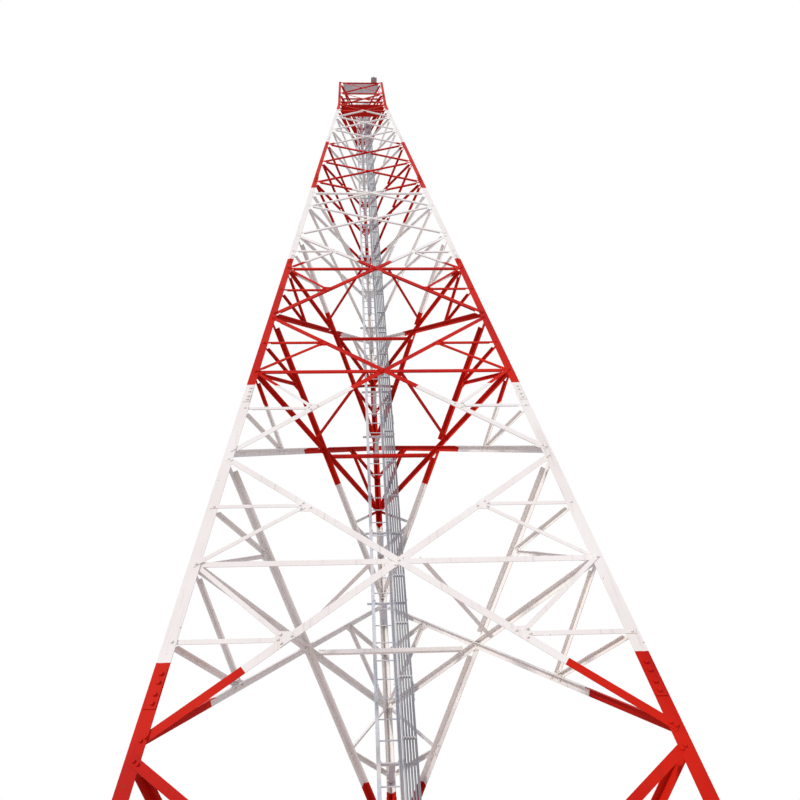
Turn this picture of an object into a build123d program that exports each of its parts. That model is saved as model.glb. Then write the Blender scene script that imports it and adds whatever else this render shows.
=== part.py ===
import math
import os

from build123d import *

# Overall form: three legs on an equilateral triangle, tapering to a straight top
base_width = 5900
top_width = 2140
tall_panel = 4000
tall_count = 4
short_panel = 2000
taper_short_count = 7
straight_count = 2
foot_height = 300
bend_clear = 55
leg_tip = 80

# Legs: sixty-degree angles with the heel outward, in bolted lengths
leg_thick = 12
leg_flanges = (150, 150, 140, 140, 120, 120, 110)
gauge_share = 0.6
splice_panels = (1, 2, 3, 6, 8, 11)
splice_shares = (0.1296, 0.356, 0.657, 0.2, 0.35, 0.78)
splice_gap = 4
splice_length = 400
splice_thick = 10
splice_edge = 12

# Base plates: one under each leg, set inward from the heel
plate_size = 450
plate_thick = 30
plate_inset = 70
anchor_spacing = 320
anchor_hole_radius = 19
rib_thick = 14
rib_height = 200
rib_reach = 110
rib_toe = 25
rib_place_share = 0.5

# Bracing: steel angles bolted to the two sides of the leg flanges
bar_thick = 8
tall_diagonal = 90
short_diagonal = 65
strut = 75
light_bar = 55
end_clear = 40
leg_cope = 190
bar_cope = 60
cross_cope = 190
node_clear = 90
packer = 120
strut_panels = (0, 1, 2, 3, 5, 10)

# Plan bracing: angles laid on the struts beside the crossings
plan_bar = 60
plan_thick = 6
plan_offset = 300
plan_depth = 45

# Climbing ladder and feeder rack inside the back leg
ladder_reach = 900
ladder_foot = 350
ladder_length = 6000
ladder_left = -190
ladder_right = 100
rack_left = 160
rack_right = 390
stile_thick = 8
stile_depth = 60
stile_flange = 60
rung_radius = 11
rung_sides = 8
rung_pitch = 300
rack_rung_depth = 12
rack_rung_height = 36
rack_rung_pitch = 900
cable_count = 5
cable_radius = 16
cable_pitch = 44
cable_foot = 600

# Brackets: plates from the back leg to the ladder and the rack
bracket_thick = 12
bracket_stem = 90
bracket_bar = 60
bracket_root = 30
bracket_tail = 12
bracket_peg = 130
tall_bracket_shares = (0.235, 0.9)
short_bracket_shares = (0.62,)

# Platforms, guard rails and lamp on the straight top
platform_thick = 6
platform_lip = 50
platform_edge = 30
platform_back = 380
platform_corner = 210
guard_heights = (500, 1050)
lamp_offset = 640
lamp_overhang = 70
lamp_bearing = 190
lamp_foot_size = 280
lamp_foot_thick = 10
lamp_radius = 115
lamp_body_height = 190
dome_radius = 105
dome_height = 210
dome_round = 80

right_angle = 90
leg_turns = {"front_left": 210, "front_right": 330, "back": 90}
face_turns = {"front": 270, "right": 30, "left": 150}
stages = {"lower": range(0, 2), "middle": range(2, 4), "upper": range(4, 13)}

node_levels = [foot_height]
node_levels += [tall_panel * (i + 1) for i in range(tall_count)]
short_count = taper_short_count + straight_count
node_levels += [tall_panel * tall_count + short_panel * (i + 1) for i in range(short_count)]
bend_level = tall_panel * tall_count + short_panel * taper_short_count
node_gaps = {level: node_clear for level in node_levels[1:tall_count + 1]}
node_gaps[bend_level] = bend_clear
panels = []
for low, high in zip(node_levels, node_levels[1:]):
    panels.append((low + node_gaps.get(low, 0), high - node_gaps.get(high, 0)))
leg_top = node_levels[-1] + leg_tip
axis_y = plate_inset - base_width / math.sqrt(3)


def across(panel, share):
    low, high = panels[panel]
    return low + (high - low) * share


splice_levels = [across(p, s) for p, s in zip(splice_panels, splice_shares)]
leg_ends = [plate_thick] + splice_levels + [leg_top]


def width_at(level):
    return base_width - (base_width - top_width) * min(level, bend_level) / bend_level


def flange_at(level):
    return leg_flanges[sum(level > s for s in splice_levels)]


def compass(turn):
    return Vector(math.cos(math.radians(turn)), math.sin(math.radians(turn)), 0)


def heel(turn, level):
    return Vector(0, axis_y, level) + compass(turn) * (width_at(level) / math.sqrt(3))


def vee(turn, flange, outer, inner):
    """The outline of a sixty-degree angle about its heel, between two depths from its outer faces."""
    bisector = compass(turn + 2 * right_angle)
    spread = right_angle / 3
    first, second = compass(turn + 2 * right_angle - spread), compass(turn + 2 * right_angle + spread)
    into_first = compass(turn + 3 * right_angle - spread)
    into_second = compass(turn + right_angle + spread)
    return [
        bisector * (2 * outer),
        first * flange + into_first * outer,
        first * flange + into_first * inner,
        bisector * (2 * inner),
        second * flange + into_second * inner,
        second * flange + into_second * outer,
    ]


def box(left, right, front, back):
    return [Vector(left, front), Vector(right, front), Vector(right, back), Vector(left, back)]


def follow_leg(turn, outline, low, high):
    """Adds a length that runs along a leg between two levels, with the same level outline all the way."""
    cuts = [low] + [c for c in (bend_level,) if low < c < high] + [high]
    for start, end in zip(cuts, cuts[1:]):
        run = heel(turn, end) - heel(turn, start)
        with BuildSketch(Plane(heel(turn, start))) as section:
            with BuildLine():
                Polyline(*outline, close=True)
            make_face()
        extrude(section.sketch, amount=run.length, dir=run.normalized())


os.makedirs("parts", exist_ok=True)


def save(piece, name):
    piece.part.label = name
    export_step(piece.part, f"parts/{name}.step")


# Legs and the splice angles inside their joints
for leg, turn in leg_turns.items():
    with BuildPart() as leg_steel:
        for i, flange in enumerate(leg_flanges):
            start = leg_ends[i] + (splice_gap / 2 if i else 0)
            end = leg_ends[i + 1] - (splice_gap / 2 if i + 1 < len(leg_flanges) else 0)
            follow_leg(turn, vee(turn, flange, 0, leg_thick), start, end)
    save(leg_steel, f"{leg}_leg")

    with BuildPart() as splices:
        for level, flange in zip(splice_levels, leg_flanges[1:]):
            outline = vee(turn, flange - splice_edge, leg_thick, leg_thick + splice_thick)
            follow_leg(turn, outline, level - splice_length / 2, level + splice_length / 2)
    save(splices, f"{leg}_leg_splices")

# Base plates, each with two ribs against the outer faces of its leg
for leg, turn in leg_turns.items():
    foot = heel(turn, plate_thick)
    middle = heel(turn, 0) - compass(turn) * plate_inset
    with BuildPart() as base_plate:
        with BuildSketch(Plane(middle)):
            Rectangle(plate_size, plate_size)
            with GridLocations(anchor_spacing, anchor_spacing, 2, 2):
                Circle(anchor_hole_radius, mode=Mode.SUBTRACT)
        extrude(amount=plate_thick)
        for face_turn in face_turns.values():
            outward = compass(face_turn)
            if outward.dot(compass(turn)) < 0:
                continue
            inward = (compass(turn + 2 * right_angle) + outward * outward.dot(compass(turn))).normalized()
            root = foot + inward * (rib_place_share * leg_flanges[0])
            lean = (heel(turn, plate_thick + rib_height) - foot).dot(outward)
            with BuildSketch(Plane(root, x_dir=outward, z_dir=outward.cross(Vector(0, 0, 1)))):
                with BuildLine():
                    Polyline((0, 0), (rib_reach, 0), (rib_reach, rib_toe), (lean, rib_height), close=True)
                make_face()
            extrude(amount=rib_thick / 2, both=True)
    save(base_plate, f"{leg}_base_plate")


def face_plane(turn, low, high):
    """The outer plane of one face between two levels, with its first axis level and its third axis outward."""
    outward = compass(turn)
    start = Vector(0, axis_y, low) + outward * (width_at(low) / math.sqrt(12))
    end = Vector(0, axis_y, high) + outward * (width_at(high) / math.sqrt(12))
    along = compass(turn + right_angle)
    return Plane(start, x_dir=along, z_dir=along.cross(end - start))


def gauge_point(level, side, plane):
    """The bolt line of a leg at one level, in the plane of a face."""
    rise = (level - plane.origin.Z) / plane.y_dir.Z
    return Vector(side * (width_at(level) / 2 - gauge_share * flange_at(level)), rise)


def reach_to(level, clear, half, run):
    """How far a bar runs past the bolt line and still keeps clear of the heel."""
    return (gauge_share * flange_at(level) - clear - half * abs(run.Y)) / abs(run.X)


def strip(layers, depth, first, last, low, high):
    run = (last - first).normalized()
    rise = Vector(-run.Y, run.X) * (1 if run.X > 0 else -1)
    corners = [first + rise * low, last + rise * low, last + rise * high, first + rise * high]
    layers.setdefault(depth, []).append(corners)


def angle_bar(layers, ends, levels, size, outside, lip=True, passing=None):
    """One steel angle from bolt line or bar axis to another, on the outer or the inner side of the flanges.

    Its upper flange points inward, and is cut away at the legs and where another bar passes behind it.
    """
    first, last = ends
    run = (last - first).normalized()
    flat, lipped = [], []
    for level in levels:
        if level is None:
            flat.append(0)
            lipped.append(-bar_cope)
        else:
            flat.append(reach_to(level, end_clear, size / 2, run))
            lipped.append(reach_to(level, leg_cope, size / 2, run))
    front = bar_thick if outside else -leg_thick
    side = (front - bar_thick, front)
    strip(layers, side, first - run * flat[0], last + run * flat[1], -size / 2, size / 2)
    if lip:
        side = (front - size, front - bar_thick)
        stops = [first - run * lipped[0], last + run * lipped[1]]
        if passing:
            stops[1:1] = [passing - run * cross_cope, passing + run * cross_cope]
        for start, end in zip(stops[::2], stops[1::2]):
            strip(layers, side, start, end, size / 2 - bar_thick, size / 2)


def level_lip(turn, level):
    """The level flange of a strut, on which the plan bracing lies."""
    outward, along = compass(turn), compass(turn + right_angle)
    middle = Vector(0, axis_y, level + strut / 2 - bar_thick) + outward * (width_at(level) / math.sqrt(12))
    half = width_at(level) / 2 - leg_cope
    near, far = leg_thick + bar_thick / 2, leg_thick + strut
    with BuildSketch(Plane(middle, x_dir=along, z_dir=Vector(0, 0, 1))) as flange:
        with BuildLine():
            Polyline(*box(-half, half, near, far), close=True)
        make_face()
    extrude(flange.sketch, amount=bar_thick)


def crossing_share(low, high):
    """The share of a panel's height at which its two diagonals cross."""
    under = width_at(low) - 2 * gauge_share * flange_at(low)
    over = width_at(high) - 2 * gauge_share * flange_at(high)
    return under / (under + over)


def brace(turn, panel_numbers):
    for span in ((0, bend_level), (bend_level, leg_top)):
        plane = face_plane(turn, *span)
        layers = {}
        struts = []
        for number in panel_numbers:
            low, high = panels[number]
            if not span[0] <= low < span[1]:
                continue
            tall = number < tall_count
            size = tall_diagonal if tall else short_diagonal
            corner = {(s, z): gauge_point(z, s, plane) for s in (-1, 1) for z in (low, high)}
            angle_bar(layers, (corner[-1, low], corner[1, high]), (low, high), size, False)
            share = crossing_share(low, high)
            cross = corner[-1, low] + (corner[1, high] - corner[-1, low]) * share
            ends = (corner[-1, high], corner[1, low])
            angle_bar(layers, ends, (high, low), size, True, low < bend_level, cross)
            patch = Vector(packer / 2, 0)
            strip(layers, (-leg_thick, 0), cross - patch, cross + patch, -packer / 2, packer / 2)
            level = low + (high - low) * share
            if number in strut_panels:
                struts.append(level)
                ends = [gauge_point(level, s, plane) for s in (-1, 1)]
                angle_bar(layers, ends, (level, level), strut, False, lip=False)
            if tall:
                for side, node in corner:
                    outside = (side < 0) == (node == high)
                    quarter = (node + level) / 2
                    joint = (corner[side, node] + cross) / 2
                    at_quarter, at_strut = gauge_point(quarter, side, plane), gauge_point(level, side, plane)
                    joint_level = Vector(joint.X, at_quarter.Y)
                    angle_bar(layers, (at_quarter, joint_level), (quarter, None), light_bar, outside)
                    angle_bar(layers, (at_strut, joint), (level, None), light_bar, outside)
            if low >= bend_level:
                levels = [low]
                levels += [high] if number + 1 == len(panels) else [low + h for h in guard_heights]
                for rail in levels:
                    ends = [gauge_point(rail, s, plane) for s in (-1, 1)]
                    angle_bar(layers, ends, (rail, rail), short_diagonal, False)
        for (near, far), outlines in layers.items():
            with BuildSketch(plane.offset(near)) as flats:
                for corners in outlines:
                    with BuildLine():
                        Polyline(*corners, close=True)
                    make_face()
            extrude(flats.sketch, amount=far - near)
        for level in struts:
            level_lip(turn, level)


# Bracing of the three faces
for face, turn in face_turns.items():
    for stage, panel_numbers in stages.items():
        with BuildPart() as bracing:
            brace(turn, panel_numbers)
        save(bracing, f"{face}_bracing_{stage}")

# Plan bracing: at each level three angles that cut across the corners
for number in range(tall_count):
    low, high = panels[number]
    level = low + (high - low) * crossing_share(low, high)
    seat = level + strut / 2
    inset = width_at(level) / math.sqrt(12) - plan_depth
    with BuildPart() as plan_bracing:
        for turn in face_turns.values():
            next_turn = turn + 4 * right_angle / 3
            first = compass(turn) * inset + compass(turn + right_angle) * plan_offset
            last = compass(next_turn) * inset - compass(next_turn + right_angle) * plan_offset
            run = (last - first).normalized()
            axis = Vector(0, axis_y, seat)
            with BuildSketch(Plane(axis + first, x_dir=run, z_dir=Vector(0, 0, 1))):
                with BuildLine():
                    Polyline(*box(0, (last - first).length, -plan_bar / 2, plan_bar / 2), close=True)
                make_face()
            extrude(amount=plan_thick)
            with BuildSketch(Plane(axis + first, x_dir=run, z_dir=Vector(0, 0, 1))):
                with BuildLine():
                    back = plan_bar / 2
                    Polyline(*box(0, (last - first).length, back - plan_thick, back), close=True)
                make_face()
            extrude(amount=plan_bar)
    save(plan_bracing, f"plan_bracing_{number + 1}")

# Climbing ladder, feeder rack and feeder cables, all parallel to the back leg
back = leg_turns["back"]
front_edge = -ladder_reach - stile_depth
ladder_top = leg_top - leg_tip
lengths = []
joint = ladder_length
while joint < ladder_top:
    lengths.append(joint)
    joint += ladder_length


def angle_stile(inner, way):
    """The outline of a stile with its web beside the rungs and a flange turned outward at its rear."""
    web = inner + way * stile_thick
    tip = inner + way * stile_flange
    flange_front = -ladder_reach - stile_thick
    return [
        Vector(inner, front_edge), Vector(web, front_edge), Vector(web, flange_front),
        Vector(tip, flange_front), Vector(tip, -ladder_reach), Vector(inner, -ladder_reach),
    ]


def rails(*outlines):
    """Adds a stile on each outline, in lengths that meet with a small gap."""
    starts = [ladder_foot] + [joint + splice_gap / 2 for joint in lengths]
    ends = [joint - splice_gap / 2 for joint in lengths] + [ladder_top]
    for outline in outlines:
        for start, end in zip(starts, ends):
            follow_leg(back, outline, start, end)


with BuildPart() as climbing_ladder:
    rails(angle_stile(ladder_left + stile_thick, -1), angle_stile(ladder_right - stile_thick, 1))
    with BuildSketch(Plane.YZ.offset(ladder_left + stile_thick / 2)):
        level = ladder_foot + rung_pitch / 2
        while level < ladder_top - rung_pitch / 2:
            with Locations((heel(back, level).Y - ladder_reach - stile_depth / 2, level)):
                RegularPolygon(rung_radius, rung_sides)
            level += rung_pitch
    extrude(amount=ladder_right - ladder_left - stile_thick)
save(climbing_ladder, "climbing_ladder")

with BuildPart() as feeder_rack:
    rails(
        box(rack_left, rack_left + stile_thick, front_edge, -ladder_reach),
        box(rack_right - stile_thick, rack_right, front_edge, -ladder_reach),
    )
    level = ladder_foot + rack_rung_pitch / 2
    while level < ladder_top - rack_rung_pitch / 2:
        outline = box(rack_left, rack_right, front_edge, front_edge + rack_rung_depth)
        follow_leg(back, outline, level, level + rack_rung_height)
        level += rack_rung_pitch
save(feeder_rack, "feeder_rack")

with BuildPart() as feeder_cables:
    rack_middle = (rack_left + rack_right) / 2
    for i in range(cable_count):
        across_rack = rack_middle + (i - (cable_count - 1) / 2) * cable_pitch
        for start, end in ((cable_foot, bend_level), (bend_level, ladder_top)):
            run = heel(back, end) - heel(back, start)
            centre = heel(back, start) + Vector(across_rack, front_edge - cable_radius)
            with BuildSketch(Plane(centre)):
                Circle(cable_radius)
            extrude(amount=run.length, dir=run.normalized())
save(feeder_cables, "feeder_cables")

# Brackets: a plate wedged in the leg, with a stem and a bar across its end
bracket_levels = [across(p, s) for p in range(tall_count) for s in tall_bracket_shares]
bracket_levels += [across(p, s) for p in range(tall_count, len(panels)) for s in short_bracket_shares]
with BuildPart() as ladder_brackets:
    for level in bracket_levels:
        wedge = vee(back, flange_at(level) + bracket_tail, leg_thick, leg_thick + bracket_thick)
        tip = wedge[0]
        roots = [tip + (wedge[i] - tip).normalized() * bracket_root for i in (1, 5)]
        half = bracket_stem / 2
        inner = bracket_bar - ladder_reach
        bevel = bracket_bar * math.tan(math.radians(right_angle / 3))
        shoulder = wedge[1].Y - half
        follow_leg(back, [
            roots[0], wedge[1], Vector(-half, shoulder), Vector(-half, inner),
            Vector(ladder_left - bracket_peg, inner), Vector(ladder_left - bracket_peg, -ladder_reach),
            Vector(rack_right, -ladder_reach), Vector(rack_right - bevel, inner),
            Vector(half, inner), Vector(half, shoulder), wedge[5], roots[1],
        ], level, level + bracket_thick)
save(ladder_brackets, "ladder_brackets")

# Platforms: folded plates on the lowest and the topmost rails of the straight top
slope = math.radians(right_angle / 3)
half_face = top_width / 2
front_y = axis_y - top_width / math.sqrt(12)
near_y = front_y + platform_edge
far_y = heel(back, leg_top).Y - ladder_reach - stile_depth - platform_back
side_gap = platform_edge / math.cos(slope)
near_half = min(half_face - platform_corner, half_face - platform_edge * math.tan(slope) - side_gap)
far_half = half_face - (far_y - front_y) * math.tan(slope) - side_gap
knee_y = front_y + (half_face - side_gap - near_half) / math.tan(slope)
platform_levels = {"rest": panels[-straight_count][0], "top": panels[-1][1]}
for place, rail_level in platform_levels.items():
    with BuildPart() as platform:
        with BuildSketch(Plane((0, 0, rail_level + short_diagonal / 2))):
            with BuildLine():
                Polyline(
                    (-near_half, near_y), (near_half, near_y), (near_half, knee_y), (far_half, far_y),
                    (-far_half, far_y), (-near_half, knee_y), close=True,
                )
            make_face()
        extrude(amount=platform_thick)
        with BuildSketch(Plane((0, 0, rail_level + short_diagonal / 2))):
            with BuildLine():
                Polyline(*box(-far_half, far_half, far_y - platform_thick, far_y), close=True)
            make_face()
        extrude(amount=platform_lip)
    save(platform, f"{place}_platform")

# Obstruction lamp on a plate that reaches out from the top platform, so that it is seen from below
lamp_level = platform_levels["top"] + short_diagonal / 2 + platform_thick
lamp_place = Vector(lamp_offset, front_y - lamp_overhang, lamp_level)
lamp_foot_half = lamp_foot_size / 2
lamp_foot_sides = (lamp_offset - lamp_foot_half, lamp_offset + lamp_foot_half)
lamp_foot_ends = (lamp_place.Y - lamp_foot_half, near_y + lamp_bearing)
with BuildPart() as lamp_body:
    with BuildSketch(Plane((0, 0, lamp_level))):
        with BuildLine():
            Polyline(*box(*lamp_foot_sides, *lamp_foot_ends), close=True)
        make_face()
    extrude(amount=lamp_foot_thick)
    with BuildSketch(Plane(lamp_place + Vector(0, 0, lamp_foot_thick))):
        Circle(lamp_radius)
    extrude(amount=lamp_body_height)
save(lamp_body, "lamp_body")

with BuildPart() as lamp_dome:
    with BuildSketch(Plane(lamp_place + Vector(0, 0, lamp_foot_thick + lamp_body_height))):
        Circle(dome_radius)
    extrude(amount=dome_height)
    fillet(lamp_dome.faces().sort_by(Axis.Z)[-1].edges(), dome_round)
save(lamp_dome, "lamp_dome")
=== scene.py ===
import math

import bmesh
import bpy
from mathutils import Matrix, Vector


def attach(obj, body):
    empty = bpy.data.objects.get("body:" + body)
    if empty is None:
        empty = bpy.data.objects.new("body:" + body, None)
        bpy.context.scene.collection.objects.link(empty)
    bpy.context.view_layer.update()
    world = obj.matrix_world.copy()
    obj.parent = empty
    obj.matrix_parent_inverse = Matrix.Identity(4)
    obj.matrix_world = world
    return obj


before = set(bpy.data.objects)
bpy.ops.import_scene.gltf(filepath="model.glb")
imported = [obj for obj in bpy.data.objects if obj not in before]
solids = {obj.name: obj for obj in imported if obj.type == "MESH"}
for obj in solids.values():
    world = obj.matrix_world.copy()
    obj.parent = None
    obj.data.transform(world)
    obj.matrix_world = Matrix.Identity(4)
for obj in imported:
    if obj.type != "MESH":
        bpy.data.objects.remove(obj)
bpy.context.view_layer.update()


# Base plates: flame-cut steel plates under the three legs, each with two ribs and four anchor holes.
# Leg and ribs are welded to the plate with a fillet all round, and the aviation paint covers everything:
# seven equal bands of red and white from the ground to the top, brushed on and faded by the sun.
class Coat:
    """One socket in a finish. Sums on it add Math nodes, and make() adds any other node."""

    def __init__(self, tree, socket=None):
        self.tree = tree
        self.socket = socket

    def make(self, kind, settings=None, sockets=None, out=0):
        node = self.tree.nodes.new("ShaderNode" + kind)
        for name, value in (settings or {}).items():
            setattr(node, name, value)
        for name, value in (sockets or {}).items():
            if isinstance(value, Coat):
                self.tree.links.new(value.socket, node.inputs[name])
            else:
                node.inputs[name].default_value = value
        return Coat(self.tree, node.outputs[out] if len(node.outputs) else None)

    def sum(self, operation, first, second):
        return self.make("Math", {"operation": operation}, {0: first, 1: second})

    def __add__(self, other):
        return self.sum("ADD", self, other)

    def __radd__(self, other):
        return self.sum("ADD", other, self)

    def __sub__(self, other):
        return self.sum("SUBTRACT", self, other)

    def __rsub__(self, other):
        return self.sum("SUBTRACT", other, self)

    def __mul__(self, other):
        return self.sum("MULTIPLY", self, other)

    def __rmul__(self, other):
        return self.sum("MULTIPLY", other, self)

    def __lt__(self, other):
        return self.sum("LESS_THAN", self, other)

    def through(self, operation):
        return self.make("Math", {"operation": operation}, {0: self})

    def either(self, other):
        return self.sum("MAXIMUM", self, other)

    def capped(self, other):
        return self.sum("MINIMUM", self, other)

    def rise(self, low, high):
        """A mask that climbs smoothly from nought to one between two values."""
        return self.make("MapRange", {"interpolation_type": "SMOOTHSTEP"}, {0: self, 1: low, 2: high})

    def over(self, under, top):
        """Lays one colour over another where this mask is one."""
        return self.make("Mix", {"data_type": "RGBA"}, {0: self, 6: under, 7: top}, out=2)

    def stretched(self, scale):
        return self.make("Mapping", None, {"Vector": self, "Scale": scale})

    def grain(self, scale, detail=3.0, roughness=0.55):
        noise = {"Vector": self, "Scale": scale, "Detail": detail, "Roughness": roughness}
        return self.make("TexNoise", None, noise)

    def close(self, colour, roughness, height, depth, **others):
        bump = self.make("Bump", None, {"Strength": 1.0, "Distance": depth, "Height": height})
        sockets = {"Base Color": colour, "Roughness": roughness, "Normal": bump}
        sockets.update({name.replace("_", " "): value for name, value in others.items()})
        self.make("OutputMaterial", None, {"Surface": self.make("BsdfPrincipled", None, sockets)})


def open_finish(name):
    material = bpy.data.materials.new(name)
    material.use_nodes = True
    material.node_tree.nodes.clear()
    place = Coat(material.node_tree).make("TexCoord", out="Object")
    return material, place


def wear(solid, finish):
    solid.data.materials.clear()
    solid.data.materials.append(finish)


tower_height = 34.0
band_count = 7
band_height = tower_height / band_count
face_arc = math.tau / 3
face_start = 0.25
brush_waver = 0.02
cut_reach, cut_half = 0.5, 0.06
top_margin = 0.1
shaded_red, sunned_red = (0.46, 0.006, 0.003, 1), (0.59, 0.014, 0.004, 1)
shaded_white, sunned_white = (0.79, 0.755, 0.715, 1), (0.84, 0.815, 0.785, 1)
grime_on_red, grime_on_white = (0.16, 0.02, 0.015, 1), (0.30, 0.25, 0.21, 1)
old_rust, fresh_rust = (0.11, 0.035, 0.014, 1), (0.25, 0.095, 0.03, 1)


def band_paint(name, drop, cuts=()):
    """The aviation paint, with its bands a little lower on some pieces, where the painter cut in by eye.

    Each cut is the height and the place across a face where an edge is turned, and its rise across.
    """
    paint, place = open_finish(name)
    height = place.make("SeparateXYZ", None, {0: place}, out=2)
    level = height + place.grain(9.0) * brush_waver + (drop - brush_waver / 2)
    if cuts:
        aside = place.make("SeparateXYZ", None, {0: place})
        ahead = place.make("SeparateXYZ", None, {0: place}, out=1) - axis_y
        turn = aside.sum("ARCTAN2", ahead, aside)
        third = (turn * (1 / face_arc) + face_start).through("FRACT") - 0.5
        radius = (aside * aside + ahead * ahead).through("SQRT")
        across = radius * (third.through("ABSOLUTE") * face_arc).through("SINE")
        for edge, beside, rise in cuts:
            near = (height - edge).through("ABSOLUTE") < cut_reach
            level = level - near * (across - beside).capped(cut_half).either(-cut_half) * rise
    red_band = (level.capped(tower_height - top_margin) * (0.5 / band_height)).through("FRACT") < 0.5
    sunning = place.grain(0.9, 4.0).rise(0.3, 0.7)
    red = sunning.over(shaded_red, sunned_red)
    white = sunning.over(shaded_white, sunned_white)
    colour = red_band.over(white, red)
    runs = place.stretched((22.0, 22.0, 0.9)).grain(1.0, 4.0, 0.6).rise(0.54, 0.8)
    colour = (runs * 0.32).over(colour, red_band.over(grime_on_white, grime_on_red))
    chips = place.grain(26.0, 3.0, 0.5).rise(0.735, 0.75)
    rust = place.grain(160.0, 2.0).over(old_rust, fresh_rust)
    colour = chips.over(colour, rust)
    brushing = place.stretched((160.0, 160.0, 9.0)).grain(1.0, 2.0)
    dullness = 0.50 + sunning * 0.08 + runs * 0.16 + chips * 0.25
    place.close(colour, dullness, brushing * 0.5 + (1 - chips) * 0.8, 0.0003, Specular_IOR_Level=0.11)
    return paint


banded_paint = band_paint("banded_paint", 0.0)

base_width = 5.9
top_width = 2.14
bend_level = 30.0
axis_y = 0.07 - base_width / math.sqrt(3)
leg_turns = {"front_left": 210, "front_right": 330, "back": 90}
face_turns = {"front": 270, "right": 30, "left": 150}


def compass(turn):
    return Vector((math.cos(math.radians(turn)), math.sin(math.radians(turn)), 0))


def width_at(level):
    return base_width - (base_width - top_width) * min(level, bend_level) / bend_level


def heel(turn, level):
    return Vector((0, axis_y, level)) + compass(turn) * (width_at(level) / math.sqrt(3))


class Pattern:
    """A Geometry Nodes tree with named sizes, laid on places and kept as a plain mesh."""

    def __init__(self, name, sizes):
        self.tree = bpy.data.node_groups.new(name, "GeometryNodeTree")
        sockets = self.tree.interface
        sockets.new_socket("Places", in_out="INPUT", socket_type="NodeSocketGeometry")
        for label in sizes:
            sockets.new_socket(label, in_out="INPUT", socket_type="NodeSocketFloat")
        sockets.new_socket("Finish", in_out="INPUT", socket_type="NodeSocketMaterial")
        sockets.new_socket("Pieces", in_out="OUTPUT", socket_type="NodeSocketGeometry")
        self.sizes = sizes
        self.size = self.tree.nodes.new("NodeGroupInput").outputs

    def make(self, kind, settings=None, sockets=None, out=0):
        node = self.tree.nodes.new(kind)
        for name, value in (settings or {}).items():
            setattr(node, name, value)
        for name, value in (sockets or {}).items():
            for each in value if isinstance(value, list) else [value]:
                if isinstance(each, bpy.types.NodeSocket):
                    self.tree.links.new(each, node.inputs[name])
                else:
                    node.inputs[name].default_value = each
        return node.outputs[out]

    def sum(self, operation, first, second):
        return self.make("ShaderNodeMath", {"operation": operation}, {0: first, 1: second})

    def chance(self, low, high, seed):
        sockets = {2: low, 3: high, 8: seed}
        return self.make("FunctionNodeRandomValue", {"data_type": "FLOAT"}, sockets, out=1)

    def vector(self, x, y, z):
        return self.make("ShaderNodeCombineXYZ", None, {0: x, 1: y, 2: z})

    def disc(self, sides, radius, height, base):
        """A drum with a number of sides that stands on a height."""
        drum = {"Vertices": sides, "Radius": radius, "Depth": height}
        shape = self.make("GeometryNodeMeshCylinder", None, drum)
        shift = self.vector(0.0, 0.0, self.sum("ADD", base, self.sum("MULTIPLY", height, 0.5)))
        return self.make("GeometryNodeTransform", None, {"Geometry": shape, "Translation": shift})

    def circle(self, sides, radius):
        sockets = {"Resolution": sides, "Radius": radius}
        return self.make("GeometryNodeCurvePrimitiveCircle", None, sockets)

    def strap(self, sides, radius, width, height):
        """A flat strip bent to a ring: its width lies in the ring's plane and its height across it."""
        line = self.circle(sides, radius)
        strip = {"Width": width, "Height": height}
        strip = self.make("GeometryNodeCurvePrimitiveQuadrilateral", None, strip)
        return self.make("GeometryNodeCurveToMesh", None, {"Curve": line, "Profile Curve": strip})

    def join(self, *shapes):
        return self.make("GeometryNodeJoinGeometry", None, {"Geometry": list(shapes)})

    def told(self, label):
        kind = {"data_type": "FLOAT_VECTOR"}
        return self.make("GeometryNodeInputNamedAttribute", kind, {"Name": label})

    def facing(self):
        sockets = {"Vector": self.told("facing")}
        return self.make("FunctionNodeAlignRotationToVector", {"axis": "Z"}, sockets)

    def lined_up(self):
        sockets = {"Rotation": self.facing(), "Vector": self.told("along")}
        return self.make("FunctionNodeAlignRotationToVector", {"axis": "X", "pivot_axis": "Z"}, sockets)

    def spread(self, shape, turn):
        sockets = {"Points": self.size["Places"], "Instance": shape, "Rotation": turn}
        return self.make("GeometryNodeInstanceOnPoints", None, sockets)

    def finish(self, shape):
        whole = self.make("GeometryNodeRealizeInstances", None, {"Geometry": shape})
        sockets = {"Geometry": whole, "Material": self.size["Finish"]}
        painted = self.make("GeometryNodeSetMaterial", None, sockets)
        self.tree.links.new(painted, self.tree.nodes.new("NodeGroupOutput").inputs[0])

    def lay(self, name, places, finish, scale=1.0):
        piece = bpy.data.objects.new(name, places)
        bpy.context.collection.objects.link(piece)
        modifier = piece.modifiers.new(name, "NODES")
        modifier.node_group = self.tree
        for item in self.tree.interface.items_tree:
            if item.name in self.sizes:
                modifier[item.identifier] = self.sizes[item.name] * scale
            elif item.name == "Finish":
                modifier[item.identifier] = finish
        seen = piece.evaluated_get(bpy.context.evaluated_depsgraph_get())
        mesh = bpy.data.meshes.new_from_object(seen)
        piece.modifiers.remove(modifier)
        piece.data = mesh
        wear(piece, finish)
        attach(piece, "root")
        return piece


def lines(name, runs):
    """The centre lines of what follows a path, as one mesh of edges."""
    points, edges = [], []
    for run in runs:
        edges += [(len(points) + i, len(points) + i + 1) for i in range(len(run) - 1)]
        points += run
    mesh = bpy.data.meshes.new(name)
    mesh.from_pydata(points, edges, [])
    return mesh


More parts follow.
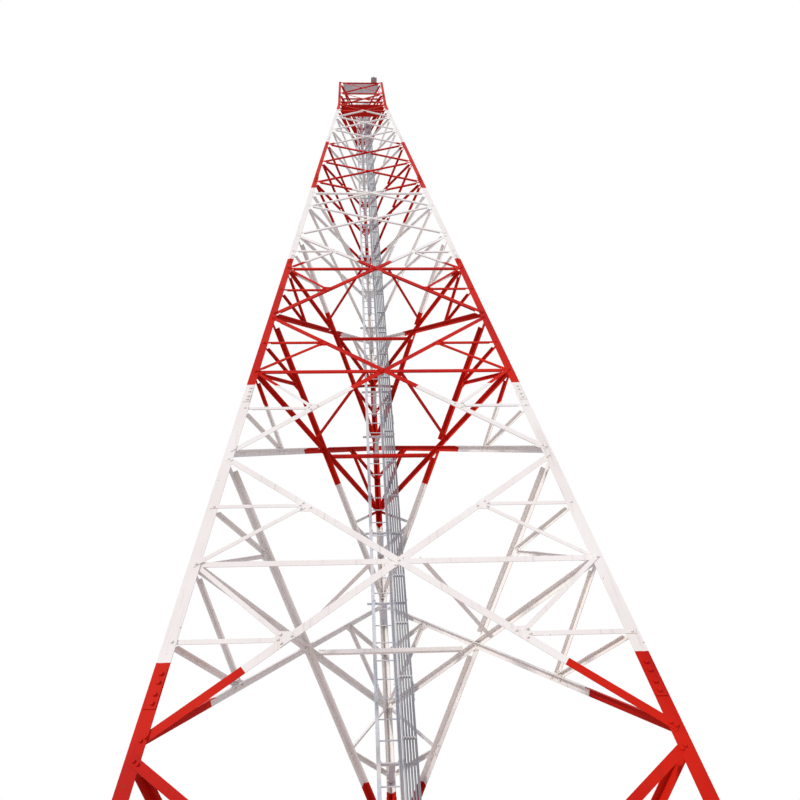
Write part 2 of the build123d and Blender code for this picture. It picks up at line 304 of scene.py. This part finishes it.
plate_top = 0.03
leg_thick = 0.012
foot_flange = 0.15
rib_thick, rib_height, rib_reach = 0.014, 0.2, 0.11
thin_bead, full_bead, bead_seed = 0.8, 1.15, 4
weld = Pattern("weld_fillet", {"Bead": 0.006, "Ripple": 0.009})
line = weld.make("GeometryNodeMeshToCurve", None, {"Mesh": weld.size["Places"]})
sockets = {"Curve": line, "Length": weld.size["Ripple"]}
line = weld.make("GeometryNodeResampleCurve", {"mode": "LENGTH"}, sockets)
ring = weld.circle(6, weld.size["Bead"])
swell = weld.chance(thin_bead, full_bead, bead_seed)
sockets = {"Curve": line, "Profile Curve": ring, "Scale": swell, "Fill Caps": True}
weld.finish(weld.make("GeometryNodeCurveToMesh", None, sockets))
fillets = []
for leg, turn in leg_turns.items():
    wear(solids[leg + "_base_plate"], banded_paint)
    foot = heel(turn, plate_top)
    for side in (1, -1):
        inward = compass(turn + 180 + 30 * side)
        outward = compass(turn + 60 * side)
        tip = foot + inward * foot_flange
        fillets.append([foot, tip])
        fillets.append([foot + compass(turn + 180) * (2 * leg_thick), tip - outward * leg_thick])
        root = foot + inward * (0.5 * foot_flange)
        lean = (heel(turn, plate_top + rib_height) - foot).dot(outward)
        for edge in (-0.5, 0.5):
            near = root + inward * (edge * rib_thick)
            top = near + outward * lean + Vector((0, 0, rib_height))
            fillets.append([near + outward * rib_reach, near, top])
weld.lay("foot_welds", lines("foot_welds", fillets), banded_paint)

# Legs: rolled steel angles with the heel outward, in seven lengths that step down in size on the way up.
# At each joint an angle inside and a cover plate outside on each flange clamp the two ends,
# and hexagon bolts go through all of them.
leg_flanges = (0.15, 0.15, 0.14, 0.14, 0.12, 0.12, 0.11)
splice_levels = (4.5851, 9.4499, 14.5997, 20.4, 24.7, 31.5721)
gauge_share = 0.6
splice_thick = 0.01
cover_half, cover_thick = 0.205, 0.01
cover_from_heel, cover_from_edge = 0.018, 0.006
splice_rises = (-0.15, -0.06, 0.06, 0.15)
splice_bolt = 1.25
for leg in leg_turns:
    wear(solids[leg + "_leg"], banded_paint)
    wear(solids[leg + "_leg_splices"], banded_paint)


def flange_at(level):
    return leg_flanges[sum(level > splice for splice in splice_levels)]


def face_out(turn, level):
    """The direction square to a face, which leans with the taper below the bend."""
    lean = (base_width - top_width) / bend_level / math.sqrt(12) if level < bend_level else 0.0
    return (compass(turn) + Vector((0, 0, lean))).normalized()


def on_face(turn, across, level, depth=0.0):
    """A point on a face, from its middle and its height, and so far out from the legs' outer faces."""
    point = Vector((0, axis_y, level)) + compass(turn) * (width_at(level) / math.sqrt(12))
    return point + compass(turn + 90) * across + face_out(turn, level) * depth


def gauge(turn, side, level):
    """A point on the bolt line of a leg."""
    return on_face(turn, side * (width_at(level) / 2 - gauge_share * flange_at(level)), level)


def prism(outline, push):
    """A closed plate from an outline and the push that gives its thickness."""
    count = len(outline)
    points = list(outline) + [point + push for point in outline]
    faces = [tuple(range(count)), tuple(range(2 * count - 1, count - 1, -1))]
    faces += [(i, (i + 1) % count, (i + 1) % count + count, i + count) for i in range(count)]
    return points, faces


def build(name, shells, finish):
    """Makes one piece from closed shells, with its faces outward, and hangs it on the tower."""
    mould = bmesh.new()
    for points, faces in shells:
        corners = [mould.verts.new(point) for point in points]
        for face in faces:
            mould.faces.new([corners[i] for i in face])
    bmesh.ops.recalc_face_normals(mould, faces=mould.faces)
    mesh = bpy.data.meshes.new(name)
    mould.to_mesh(mesh)
    mould.free()
    piece = bpy.data.objects.new(name, mesh)
    bpy.context.collection.objects.link(piece)
    wear(piece, finish)
    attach(piece, "root")
    return piece


def marks(name, spots):
    """Places for a pattern: each spot is a point, the way it faces and, at times, the way it runs."""
    mesh = bpy.data.meshes.new(name)
    mesh.from_pydata([spot[0] for spot in spots], [], [])
    for i, label in enumerate(("facing", "along"), 1):
        if len(spots[0]) > i:
            attribute = mesh.attributes.new(label, "FLOAT_VECTOR", "POINT")
            attribute.data.foreach_set("vector", [part for spot in spots for part in spot[i]])
    return mesh


bolt_sizes = {"Head Radius": 0.0175, "Head Height": 0.0125,
              "Washer Radius": 0.0205, "Washer Thickness": 0.0035}
washer_sides, nut_sides, thread_sides = 10, 6, 8
most_spin, spin_seed = 1.05, 11
heads = Pattern("bolt_head", bolt_sizes)
seat = heads.size["Washer Thickness"]
washer = heads.disc(washer_sides, heads.size["Washer Radius"], seat, 0.0)
hexagon = heads.disc(nut_sides, heads.size["Head Radius"], heads.size["Head Height"], seat)
spin = {"Angle": heads.chance(0.0, most_spin, spin_seed)}
spin = heads.make("FunctionNodeAxisAngleToRotation", None, spin)
turned = {"Rotation": heads.facing(), "Rotate By": spin}
turned = heads.make("FunctionNodeRotateRotation", {"rotation_space": "LOCAL"}, turned)
heads.finish(heads.spread(heads.join(washer, hexagon), turned))
nut_sizes = {"Nut Radius": 0.0175, "Nut Height": 0.016,
             "Washer Radius": 0.0205, "Washer Thickness": 0.0035,
             "Thread Radius": 0.0095, "Thread Length": 0.028}
nuts = Pattern("nut_and_thread", nut_sizes)
seat = nuts.size["Washer Thickness"]
washer = nuts.disc(washer_sides, nuts.size["Washer Radius"], seat, 0.0)
hexagon = nuts.disc(nut_sides, nuts.size["Nut Radius"], nuts.size["Nut Height"], seat)
thread = nuts.disc(thread_sides, nuts.size["Thread Radius"], nuts.size["Thread Length"], seat)
nuts.finish(nuts.spread(nuts.join(washer, hexagon, thread), nuts.facing()))


def bolt_up(name, bolts, finish, scale=1.0):
    """Bolts through plates: each is the point under its head, the way its head faces, and its grip."""
    tops = [(spot, way) for spot, way, grip in bolts]
    heads.lay(name + "_bolts", marks(name + "_bolts", tops), finish, scale)
    ends = [(spot - way * grip, -way) for spot, way, grip in bolts]
    nuts.lay(name + "_nuts", marks(name + "_nuts", ends), finish, scale)


covers, splice_bolts = [], []
for turn in face_turns.values():
    for level, flange in zip(splice_levels, leg_flanges[1:]):
        out = face_out(turn, level)
        for side in (-1, 1):
            outline = []
            near, far = cover_from_heel, flange - cover_from_edge
            for end, inset in ((-1, near), (-1, far), (1, far), (1, near)):
                height = level + end * cover_half
                outline.append(on_face(turn, side * (width_at(height) / 2 - inset), height))
            covers.append(prism(outline, out * cover_thick))
            for rise in splice_rises:
                height = level + rise
                across = side * (width_at(height) / 2 - gauge_share * flange)
                spot = on_face(turn, across, height, cover_thick)
                splice_bolts.append((spot, out, cover_thick + leg_thick + splice_thick))
build("splice_covers", covers, banded_paint)
bolt_up("splice", splice_bolts, banded_paint, splice_bolt)

# Bracing: steel angles that cross in each face, one set bolted outside the leg flanges and one inside.
# Level struts and light bars hold the tall panels. Packers fill the crossings, and gusset plates join
# the light bars to the main ones. The band edges on the bars were cut in square to each bar.
bar_thick = 0.008
tall_bar, light_bar = 0.09, 0.055
tall_count, tall_panel = 4, 4.0
short_count, short_panel = 9, 2.0
node_levels = [0.3]
node_levels += [tall_panel * (i + 1) for i in range(tall_count)]
node_levels += [tall_panel * tall_count + short_panel * (i + 1) for i in range(short_count)]
tall_gap, bend_gap = 0.09, 0.055
node_gaps = {level: tall_gap for level in node_levels[1:tall_count + 1]}
node_gaps[bend_level] = bend_gap
panels = []
for low, high in zip(node_levels, node_levels[1:]):
    panels.append((low + node_gaps.get(low, 0), high - node_gaps.get(high, 0)))
strut_panels = (0, 1, 2, 3, 5, 10)
guard_heights = (0.5, 1.05)
second_bolt = 0.05
gusset_thick = 0.008
gusset_reaches = (0.10, 0.10, 0.125, 0.125)
gusset_bolts = (0.068, 0.068, 0.092, 0.092)
gusset_halves = [0.45 * size for size in (tall_bar, tall_bar, light_bar, light_bar)]
short_bolt = 0.85
bar_drop = 0.09
band_cuts = []
for count in range(1, band_count):
    edge = count * band_height - bar_drop
    low, high = next(panel for panel in panels if panel[0] < edge < panel[1])
    start = width_at(low) / 2 - gauge_share * flange_at(low)
    run = start + width_at(high) / 2 - gauge_share * flange_at(high)
    beside = (edge - low) / (high - low) * run - start
    band_cuts.append((edge, abs(beside), -math.copysign(run / (high - low), beside)))
bar_paint = band_paint("banded_paint_on_bars", bar_drop, band_cuts)
for face in face_turns:
    for stage in ("lower", "middle", "upper"):
        wear(solids[f"{face}_bracing_{stage}"], bar_paint)


def crossing_level(low, high):
    under = width_at(low) - 2 * gauge_share * flange_at(low)
    over = width_at(high) - 2 * gauge_share * flange_at(high)
    return low + (high - low) * under / (under + over)


def hull(points, first, second):
    """The outer outline of points in a plane, seen along two directions."""
    flat = sorted((p.dot(first), p.dot(second), i) for i, p in enumerate(points))
    rings = []
    for order in (flat, flat[::-1]):
        chain = []
        for spot in order:
            while len(chain) > 1 and (
                (chain[-1][0] - chain[-2][0]) * (spot[1] - chain[-2][1])
                <= (chain[-1][1] - chain[-2][1]) * (spot[0] - chain[-2][0])
            ):
                chain.pop()
            chain.append(spot)
        rings += chain[:-1]
    return [points[spot[2]] for spot in rings]


low_bolts, high_bolts, gussets = [], [], []
for turn in face_turns.values():
    level_way = compass(turn + 90)
    for number, (low, high) in enumerate(panels):
        tall = number < tall_count
        bolts = low_bolts if tall else high_bolts
        out = face_out(turn, (low + high) / 2)
        steps = (0.0, second_bolt) if tall else (0.0,)
        corner = {(side, z): gauge(turn, side, z) for side in (-1, 1) for z in (low, high)}
        cross_z = crossing_level(low, high)
        share = (cross_z - low) / (high - low)
        cross = corner[-1, low].lerp(corner[1, high], share)
        bolts.append((cross + out * bar_thick, out, leg_thick + 2 * bar_thick))
        for (side, z), spot in corner.items():
            outside = (side < 0) == (z == high)
            run = (cross - spot).normalized()
            seat = out * (bar_thick if outside else 0.0)
            shared = z in node_levels[1:-1]
            grip = leg_thick + bar_thick * (2 if shared else 1)
            if outside or not shared:
                bolts += [(spot + run * step + seat, out, grip) for step in steps]
            if not tall:
                continue
            quarter = gauge(turn, side, (z + cross_z) / 2)
            end = gauge(turn, side, cross_z)
            joint = (spot + cross) / 2
            bolts.append((quarter + seat, out, leg_thick + bar_thick))
            ways = [run, -run, (quarter - joint).normalized(), (end - joint).normalized()]
            rim = []
            for way, reach, half in zip(ways, gusset_reaches, gusset_halves):
                beside = way.cross(out) * half
                rim += [joint + way * reach + beside, joint + way * reach - beside]
            face_up = out.cross(level_way)
            back = 0.0 if outside else -leg_thick + gusset_thick
            outline = [point + out * back for point in hull(rim, level_way, face_up)]
            gussets.append(prism(outline, -out * gusset_thick))
            top = bar_thick if outside else back
            for way, reach in zip(ways, gusset_bolts):
                bolts.append((joint + way * reach + out * top, out, bar_thick + gusset_thick))
        if number in strut_panels:
            for side in (-1, 1):
                front = bar_thick if tall else 0.0
                spot = gauge(turn, side, cross_z) + out * front
                bolts.append((spot, out, front + leg_thick + bar_thick))
        if low == bend_level + node_gaps[bend_level]:
            for rise in guard_heights:
                rail = low + rise
                bolts += [(gauge(turn, side, rail), out, leg_thick + bar_thick) for side in (-1, 1)]
build("gusset_plates", gussets, bar_paint)
bolt_up("tall_panel", low_bolts, bar_paint)
bolt_up("short_panel", high_bolts, bar_paint, short_bolt)

# Plan bracing: at the middle of each tall panel three angles cut across the corners of the tower.
# They lie on the level flanges of the struts, with one bolt down through each end.
plan_thick, plan_offset, plan_depth, strut_half = 0.006, 0.3, 0.045, 0.0375
plan_bolt_inset = 0.03
upward = Vector((0, 0, 1))
plan_bolts = []
for number, (low, high) in enumerate(panels[:tall_count]):
    wear(solids[f"plan_bracing_{number + 1}"], bar_paint)
    level = crossing_level(low, high)
    inset = width_at(level) / math.sqrt(12) - plan_depth
    for turn in face_turns.values():
        first = compass(turn) * inset + compass(turn + 90) * plan_offset
        last = compass(turn + 120) * inset - compass(turn + 210) * plan_offset
        run = (last - first).normalized() * plan_bolt_inset
        for end in (first + run, last - run):
            seat = Vector((0, axis_y, level + strut_half + plan_thick)) + end
            plan_bolts.append((seat, upward, plan_thick + bar_thick))
bolt_up("plan_bracing", plan_bolts, bar_paint, short_bolt)

# Climbing ladder: angle-bar stiles with welded round rungs, hot-dip galvanised, in lengths of six metres.
# It stands inside the back leg and leans with it, and fishplates join its lengths.
dark_zinc, bright_zinc = (0.50, 0.53, 0.59, 1), (0.62, 0.65, 0.70, 1)
chalky_zinc, zinc_stain = (0.70, 0.67, 0.62, 1), (0.24, 0.17, 0.12, 1)
galvanised, place = open_finish("galvanised_steel")
cells = place.make("TexVoronoi", None, {"Vector": place, "Scale": 55.0}, out="Color")
spangle = place.make("SeparateColor", None, {0: cells})
weathering = place.grain(2.2, 5.0).rise(0.35, 0.7)
colour = spangle.over(dark_zinc, bright_zinc)
colour = (weathering * 0.6).over(colour, chalky_zinc)
stains = place.stretched((30.0, 30.0, 1.3)).grain(1.0, 4.0).rise(0.6, 0.85)
colour = (stains * 0.4).over(colour, zinc_stain)
dullness = 0.42 + spangle * 0.10 + weathering * 0.2
place.close(colour, dullness, spangle, 0.0002, Metallic=0.35 - weathering * 0.25)
wear(solids["climbing_ladder"], galvanised)
ladder_reach, stile_depth, stile_thick = 0.9, 0.06, 0.008
ladder_sides = (-0.19, 0.1)
rack_sides = (0.16, 0.39)
ladder_top = tower_height
rung_radius, first_rung, rung_pitch, last_gap = 0.011, 0.5, 0.3, 0.15


def by_ladder(x, forward, level):
    """A point beside the ladder, so far across and so far in front of the back leg's heel."""
    return heel(90, level) + Vector((x, -forward, 0))


collar = Pattern("rung_weld", {"Rung Radius": rung_radius, "Bead": 0.004})
path = collar.circle(8, collar.size["Rung Radius"])
ring = collar.circle(4, collar.size["Bead"])
ring = collar.make("GeometryNodeCurveToMesh", None, {"Curve": path, "Profile Curve": ring})
collar.finish(collar.spread(ring, collar.facing()))
rung_ends = []
level = first_rung
while level < ladder_top - last_gap:
    for x, side in ((ladder_sides[0] + stile_thick, 1), (ladder_sides[1] - stile_thick, -1)):
        spot = by_ladder(x, ladder_reach + stile_depth / 2, level)
        rung_ends.append((spot, Vector((side, 0, 0))))
    level += rung_pitch
collar.lay("rung_welds", marks("rung_welds", rung_ends), galvanised)
ladder_joints = (6.0, 12.0, 18.0, 24.0, 30.0)
fish_half, fish_thick, fish_edge = 0.15, 0.008, 0.006
fish_rises = (-0.115, -0.05, 0.05, 0.115)
light_bolt = 0.6
fishplates, fish_bolts = [], []
for joint in ladder_joints:
    for sides in (ladder_sides, rack_sides):
        for x, way in ((sides[0], -1), (sides[1], 1)):
            heights = (joint - fish_half, joint, joint + fish_half)
            front = [by_ladder(x, ladder_reach + stile_depth - fish_edge, h) for h in heights]
            rear = [by_ladder(x, ladder_reach + stile_thick + fish_edge, h) for h in heights]
            outward = Vector((way, 0, 0))
            fishplates.append(prism(front + rear[::-1], outward * fish_thick))
            for rise in fish_rises:
                spot = by_ladder(x, ladder_reach + (stile_depth + stile_thick) / 2, joint + rise)
                fish_bolts.append((spot + outward * fish_thick, outward, fish_thick + stile_thick))
build("ladder_fishplates", fishplates, galvanised)

# Feeder rack and cables: two rails with flat rungs beside the ladder, and five coaxial cables on them.
# The cables have a grey ribbed jacket, and a sheet-metal hanger holds each one at every rung.
wear(solids["feeder_rack"], galvanised)
dark_jacket, faded_jacket = (0.20, 0.215, 0.25, 1), (0.33, 0.335, 0.35, 1)
jacket_dust = (0.36, 0.32, 0.27, 1)
jacket_ribs = 520.0
jacket, place = open_finish("cable_jacket")
height = place.make("SeparateXYZ", None, {0: place}, out=2)
ribs = (height * jacket_ribs).through("SINE")
fading = place.grain(1.6, 4.0).rise(0.3, 0.7)
colour = fading.over(dark_jacket, faded_jacket)
dust = place.stretched((40.0, 40.0, 1.5)).grain(1.0, 3.0).rise(0.5, 0.8)
colour = (dust * 0.5).over(colour, jacket_dust)
place.close(colour, 0.5 + dust * 0.25, ribs, 0.0004)
wear(solids["feeder_cables"], jacket)
cable_radius, cable_pitch, cable_count = 0.016, 0.044, 5
rack_middle = sum(rack_sides) / 2
first_hanger, hanger_pitch, hanger_gap, hanger_lift = 0.8, 0.9, 0.45, 0.018
hanger_sizes = {"Hanger Radius": cable_radius + 0.002, "Hanger Width": 0.03, "Hanger Thickness": 0.004}
hanger = Pattern("cable_hanger", hanger_sizes)
radius, wide = hanger.size["Hanger Radius"], hanger.size["Hanger Width"]
strap = hanger.strap(12, radius, hanger.size["Hanger Thickness"], wide)
hanger.finish(hanger.spread(strap, hanger.facing()))
hangers = []
level = first_hanger
while level < ladder_top - hanger_gap:
    for i in range(cable_count):
        x = rack_middle + (i - (cable_count - 1) / 2) * cable_pitch
        middle = by_ladder(x, ladder_reach + stile_depth + cable_radius, level + hanger_lift)
        lean = heel(90, level + 0.1) - heel(90, level)
        hangers.append((middle, lean.normalized()))
    level += hanger_pitch
hanger.lay("cable_hangers", marks("cable_hangers", hangers), galvanised)
bolt_up("fishplate", fish_bolts, galvanised, light_bolt)

# Ladder brackets: flat plates wedged in the back leg, with a bar across that carries ladder and rack.
# A small angle cleat welded on each bar holds every stile, with one bolt through the stile.
wear(solids["ladder_brackets"], galvanised)
bracket_thick, cleat_size, cleat_thick = 0.012, 0.045, 0.005
cleat_rear, cleat_front, cleat_foot = 0.04, 0.045, 0.035
cleat_bolt_front, cleat_bolt_share = 0.022, 0.55
tall_shares, short_share = (0.235, 0.9), 0.62
bracket_levels = []
for low, high in panels[:tall_count]:
    bracket_levels += [low + (high - low) * share for share in tall_shares]
bracket_levels += [low + (high - low) * short_share for low, high in panels[tall_count:]]
cleats, cleat_bolts = [], []
for level in bracket_levels:
    top = level + bracket_thick
    for sides in (ladder_sides, rack_sides):
        for x, way in ((sides[0] + stile_thick, 1), (sides[1] - stile_thick, -1)):
            outward = Vector((way, 0, 0))
            corner = by_ladder(x, ladder_reach, top)
            rear, front = Vector((0, cleat_rear, 0)), Vector((0, -cleat_front, 0))
            up = Vector((0, 0, cleat_size))
            wall = [corner + front, corner + rear, corner + rear + up, corner + front + up]
            cleats.append(prism(wall, outward * cleat_thick))
            base = corner + outward * cleat_thick
            tip = base + outward * cleat_foot
            cleats.append(prism([base, tip, tip + rear, base + rear], Vector((0, 0, cleat_thick))))
            spot = base + Vector((0, -cleat_bolt_front, cleat_size * cleat_bolt_share))
            cleat_bolts.append((spot, outward, cleat_thick + stile_thick))
build("ladder_cleats", cleats, galvanised)
bolt_up("cleat", cleat_bolts, galvanised, light_bolt)

# Platforms: folded tread plate on the lowest and topmost rails of the straight top, open at the ladder.
# The lower one is painted with its band, the upper one is bare galvanised, and both have raised treads.
wear(solids["rest_platform"], banded_paint)
wear(solids["top_platform"], galvanised)
tread = Pattern("tread_plate", {"Tread Length": 0.013, "Tread Width": 0.004, "Tread Height": 0.0015})
bar = {"Vertices": 8, "Radius Top": 0.7, "Radius Bottom": 1.0, "Depth": 1.0}
bar = tread.make("GeometryNodeMeshCone", None, bar)
scale = tread.vector(tread.size["Tread Length"], tread.size["Tread Width"], tread.size["Tread Height"])
bar = tread.make("GeometryNodeTransform", None, {"Geometry": bar, "Scale": scale})
tread.finish(tread.spread(bar, tread.lined_up()))
plate_edge, plate_corner, plate_thick = 0.03, 0.21, 0.006
rail_half = 0.0325
climb_gap = 0.38
tread_column, tread_row, tread_margin, row_margin = 0.04, 0.035, 0.04, 0.03
rest_rail = bend_level + bend_gap
front_y = axis_y - top_width / math.sqrt(12)
far_y = heel(90, ladder_top).y - ladder_reach - stile_depth - climb_gap
for name, rail, finish, slot in (
    ("rest_treads", rest_rail, banded_paint, "banded_paint"),
    ("top_treads", ladder_top, galvanised, "galvanised_steel"),
):
    spots = []
    row = 0
    y = front_y + plate_edge + row_margin
    while y < far_y - row_margin:
        slant = top_width / 2 - (y - front_y) / math.sqrt(3) - plate_edge
        half = min(top_width / 2 - plate_corner, slant) - tread_margin
        column = -int(half / tread_column)
        while column * tread_column <= half:
            way = compass(45 if (row + column) % 2 else 135)
            spot = Vector((column * tread_column, y, rail + rail_half + plate_thick))
            spots.append((spot, upward, way))
            column += 1
        y += tread_row
        row += 1
    tread.lay(name, marks(name, spots), finish)

# Obstruction lamp: a cast housing with cooling fins on a plate bolted to the top platform's front edge.
# It reaches out so that it is seen from below, and a ring clamps its ribbed red glass dome.
cast_grey, grimed_grey = (0.42, 0.42, 0.43, 1), (0.27, 0.26, 0.25, 1)
housing, place = open_finish("lamp_housing")
casting = place.grain(180.0, 3.0)
grime = place.grain(12.0, 4.0).rise(0.45, 0.75)
colour = grime.over(cast_grey, grimed_grey)
place.close(colour, 0.45 + grime * 0.25, casting, 0.0004, Metallic=0.7 - grime * 0.4)
wear(solids["lamp_body"], housing)
clean_glass, dusty_glass = (0.60, 0.012, 0.010, 1), (0.50, 0.05, 0.04, 1)
glass_ribs = 420.0
glass, place = open_finish("lamp_glass")
height = place.make("SeparateXYZ", None, {0: place}, out=2)
rings = (height * glass_ribs).through("SINE")
dust = place.grain(25.0, 3.0).rise(0.5, 0.8)
colour = dust.over(clean_glass, dusty_glass)
place.close(colour, 0.06 + dust * 0.25, rings, 0.0012, Transmission_Weight=0.75, IOR=1.5)
wear(solids["lamp_dome"], glass)
lamp_side, lamp_reach, lamp_plate = 0.64, 0.07, 0.01
lamp_base = ladder_top + rail_half + plate_thick + lamp_plate
lamp_spot = Vector((lamp_side, front_y - lamp_reach, lamp_base))
fin_count, fin_ring, fin_level = 28, 0.122, 0.09
fin = Pattern("cooling_fin", {"Fin Length": 0.018, "Fin Thickness": 0.004, "Fin Height": 0.13})
shape = fin.vector(fin.size["Fin Length"], fin.size["Fin Thickness"], fin.size["Fin Height"])
shape = fin.make("GeometryNodeMeshCube", None, {"Size": shape})
fin.finish(fin.spread(shape, fin.lined_up()))
fins = []
for i in range(fin_count):
    way = compass(i * 360 / fin_count)
    fins.append((lamp_spot + way * fin_ring + Vector((0, 0, fin_level)), upward, way))
fin.lay("lamp_fins", marks("lamp_fins", fins), housing)
clamp_level = 0.192
clamp = Pattern("dome_clamp", {"Clamp Radius": 0.112, "Clamp Width": 0.02, "Clamp Height": 0.026})
strap = clamp.strap(40, clamp.size["Clamp Radius"], clamp.size["Clamp Width"], clamp.size["Clamp Height"])
clamp.finish(clamp.spread(strap, clamp.facing()))
ring_spot = [(lamp_spot + Vector((0, 0, clamp_level)), upward)]
clamp.lay("dome_clamp", marks("dome_clamp", ring_spot), housing)
foot_columns, foot_rows = (-0.11, 0.11), (0.15, 0.26)
foot_bolts = []
for x in foot_columns:
    for y in foot_rows:
        foot_bolts.append((lamp_spot + Vector((x, y, 0)), upward, lamp_plate + plate_thick))
bolt_up("lamp_foot", foot_bolts, galvanised)

# Studio: a plain pale floor under the tower, and a white surround that only the camera and mirrors see.
# A warm soft key from the front left and a cool even sky light the steel as open daylight does.
floor_radius, floor_drop = 90.0, 0.001
floor_shade, floor_light = (0.88, 0.82, 0.755, 1), (0.90, 0.84, 0.775, 1)
fade_from, fade_to = 14.0, 60.0
pure_white, sky_blue = (1, 1, 1, 1), (0.80, 0.82, 0.96, 1)
bpy.ops.mesh.primitive_circle_add(vertices=96, radius=floor_radius, fill_type="NGON")
floor = bpy.context.object
floor.location = (0, 0, -floor_drop)
floor.name = "studio_floor"
floor_finish, place = open_finish("studio_floor")
colour = place.grain(0.4).over(floor_shade, floor_light)
ground = place.make("BsdfDiffuse", None, {"Color": colour})
white = place.make("Emission", None, {"Color": pure_white, "Strength": 1.0})
reach = place.make("VectorMath", {"operation": "LENGTH"}, {0: place}, out="Value")


def shown(coat):
    """One where the camera looks, straight or by way of metal or glass, and nought for the light."""
    seen = coat.make("LightPath", out="Is Camera Ray")
    mirrored = coat.make("LightPath", out="Is Glossy Ray")
    return seen.either(mirrored).either(coat.make("LightPath", out="Is Transmission Ray"))


faded = shown(place) * reach.rise(fade_from, fade_to)
faded = place.make("MixShader", None, {0: faded, 1: ground, 2: white})
place.make("OutputMaterial", None, {"Surface": faded})
wear(floor, floor_finish)
world = bpy.data.worlds.new("studio")
bpy.context.scene.world = world
world.use_nodes = True
world.node_tree.nodes.clear()
surround = Coat(world.node_tree)
daylight = surround.make("Background", None, {"Color": sky_blue, "Strength": 0.7})
backdrop = surround.make("Background", None, {"Color": pure_white, "Strength": 1.0})
mixed = surround.make("MixShader", None, {0: shown(surround), 1: daylight, 2: backdrop})
surround.make("OutputWorld", None, {"Surface": mixed})
key_way = Vector((0.62, 0.62, -0.30))
key = bpy.data.objects.new("key_light", bpy.data.lights.new("key_light", "SUN"))
key.data.energy = 2.2
key.data.angle = math.radians(10)
key.data.color = (1.0, 0.955, 0.91)
key.rotation_euler = key_way.to_track_quat("-Z", "Y").to_euler()
bpy.context.collection.objects.link(key)

# Camera: stands in front of the tower at eye height and looks up along it, as the photograph does.
# Lens, shift, place and turn come from a fit to the band edges on the legs and the crossings of the
# bracing, with the picture taken at face value.
eye = Vector((-0.538, -11.080, 1.871))
pitch, yaw, roll = math.radians(49.192), math.radians(2.890), math.radians(-2.7605)
camera = bpy.data.objects.new("camera", bpy.data.cameras.new("camera"))
bpy.context.collection.objects.link(camera)
camera.data.sensor_fit = "HORIZONTAL"
camera.data.sensor_width = 36.0
camera.data.lens = 26.593
camera.data.shift_x = 0.0344
camera.data.clip_end = 400.0
ahead = Vector((math.sin(yaw) * math.cos(pitch), math.cos(yaw) * math.cos(pitch), math.sin(pitch)))
level_right = Vector((math.cos(yaw), -math.sin(yaw), 0))
upright = level_right.cross(ahead)
right = level_right * math.cos(roll) + upright * math.sin(roll)
up = upright * math.cos(roll) - level_right * math.sin(roll)
turn = Matrix((right, up, -ahead)).transposed().to_4x4()
camera.matrix_world = Matrix.Translation(eye) @ turn
bpy.context.scene.camera = camera
bpy.context.scene.view_settings.view_transform = "Standard"
